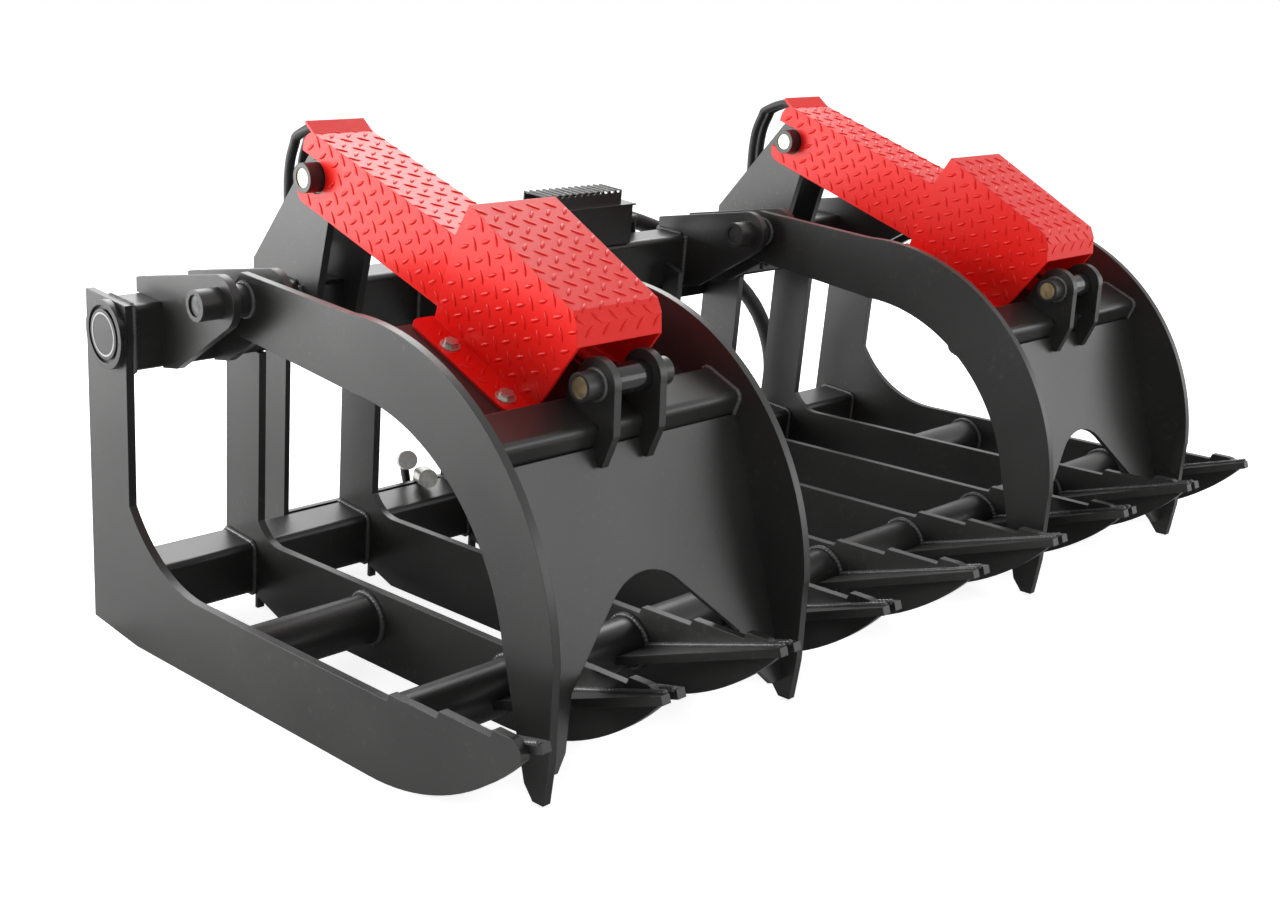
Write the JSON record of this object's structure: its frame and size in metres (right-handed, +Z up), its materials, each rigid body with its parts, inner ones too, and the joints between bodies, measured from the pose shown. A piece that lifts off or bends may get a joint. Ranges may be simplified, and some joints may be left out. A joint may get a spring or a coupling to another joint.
{
  "type": "root grapple",
  "caption": "Skid-steer root grapple with curved stepped tines and cylinder-driven lids under red tread-plate guards.",
  "frame": {"origin": "on the ground, on the centre plane between the two lids, straight under the lid hinge line", "axes": "+X to the side of the right-hand lid, -Y towards the tine tips, +Z up"},
  "size_m": [1.8508, 1.1536, 0.7985],
  "materials": {
    "badge": "satin black with a pale inner ring",
    "barrel_black": "semi-gloss black paint",
    "bolt_zinc": "bright zinc plated",
    "coupler_steel": "bright zinc plated",
    "frame_black": "satin black powder coat",
    "guard_red": "bright red powder coat on tread plate",
    "hose": "braided rubber hose, matt",
    "lid_black": "satin black powder coat",
    "pin_zinc": "yellow zinc plated",
    "rod_chrome": "hard chrome",
    "steel": "oiled steel"
  },
  "bodies": {
    "frame": {"end_plate_left": "frame_black", "end_plate_right": "frame_black", "tine_1": "frame_black", "tine_2": "frame_black", "tine_3": "frame_black", "tine_4": "frame_black", "tine_5": "frame_black", "tine_6": "frame_black", "tine_7": "frame_black", "tine_gussets": "frame_black", "top_tube": "frame_black", "lower_tube": "frame_black", "front_tube": "frame_black", "stub_tubes": "frame_black", "hinge_lugs_left": "frame_black", "hinge_lugs_right": "frame_black", "hinge_pins": "steel", "tower_left": "frame_black", "tower_right": "frame_black", "tower_pins": "pin_zinc", "coupler_top": "frame_black", "coupler_sides": "frame_black", "coupler_ledge": "frame_black", "hose_box": "frame_black", "step_tread": "frame_black", "end_badges": "badge", "feed_lines_left": "hose", "feed_lines_right": "hose", "supply_hoses": "hose", "quick_couplers": "coupler_steel"},
    "left_lid": {"outer_arm_left": "lid_black", "inner_arm_left": "lid_black", "arm_collars_left": "lid_black", "lid_tube_left": "lid_black", "lid_panel_left": "lid_black", "lid_top_plate_left": "lid_black", "clevis_left": "lid_black", "clevis_pin_left": "pin_zinc", "lower_guard_left": "guard_red", "guard_bolts_left": "bolt_zinc"},
    "left_barrel": {"barrel_left": "barrel_black", "upper_guard_left": "guard_red", "port_hoses_left": "hose"},
    "left_rod": {"rod_left": "rod_chrome", "piston_left": "steel"},
    "right_lid": {"outer_arm_right": "lid_black", "inner_arm_right": "lid_black", "arm_collars_right": "lid_black", "lid_tube_right": "lid_black", "lid_panel_right": "lid_black", "lid_top_plate_right": "lid_black", "clevis_right": "lid_black", "clevis_pin_right": "pin_zinc", "lower_guard_right": "guard_red", "guard_bolts_right": "bolt_zinc"},
    "right_barrel": {"barrel_right": "barrel_black", "upper_guard_right": "guard_red", "port_hoses_right": "hose"},
    "right_rod": {"rod_right": "rod_chrome", "piston_right": "steel"}
  },
  "joints": [
    {"name": "left_lid_hinge", "type": "hinge", "parent": "frame", "child": "left_lid", "pos_m": [-0.5644, 0, 0.562], "axis": [-1, 0, 0], "range_deg": [0, 50]},
    {"name": "left_barrel_pivot", "type": "hinge", "parent": "frame", "child": "left_barrel", "pos_m": [-0.5644, 0.098, 0.715], "axis": [-1, 0, 0], "range_deg": [0, 42]},
    {"name": "left_rod_pivot", "type": "hinge", "parent": "left_lid", "child": "left_rod", "pos_m": [-0.5644, -0.521, 0.499], "axis": [-1, 0, 0], "range_deg": [-9, 0]},
    {"name": "right_lid_hinge", "type": "hinge", "parent": "frame", "child": "right_lid", "pos_m": [0.5644, 0, 0.562], "axis": [-1, 0, 0], "range_deg": [0, 50]},
    {"name": "right_barrel_pivot", "type": "hinge", "parent": "frame", "child": "right_barrel", "pos_m": [0.5644, 0.098, 0.715], "axis": [-1, 0, 0], "range_deg": [0, 42]},
    {"name": "right_rod_pivot", "type": "hinge", "parent": "right_lid", "child": "right_rod", "pos_m": [0.5644, -0.521, 0.499], "axis": [-1, 0, 0], "range_deg": [-9, 0]}
  ],
  "couplings": [
    {"joint": "left_barrel_pivot", "follows": "left_lid_hinge", "ratio": 0.833},
    {"joint": "left_rod_pivot", "follows": "left_lid_hinge", "ratio": -0.167},
    {"joint": "right_barrel_pivot", "follows": "right_lid_hinge", "ratio": 0.833},
    {"joint": "right_rod_pivot", "follows": "right_lid_hinge", "ratio": -0.167}
  ]
}
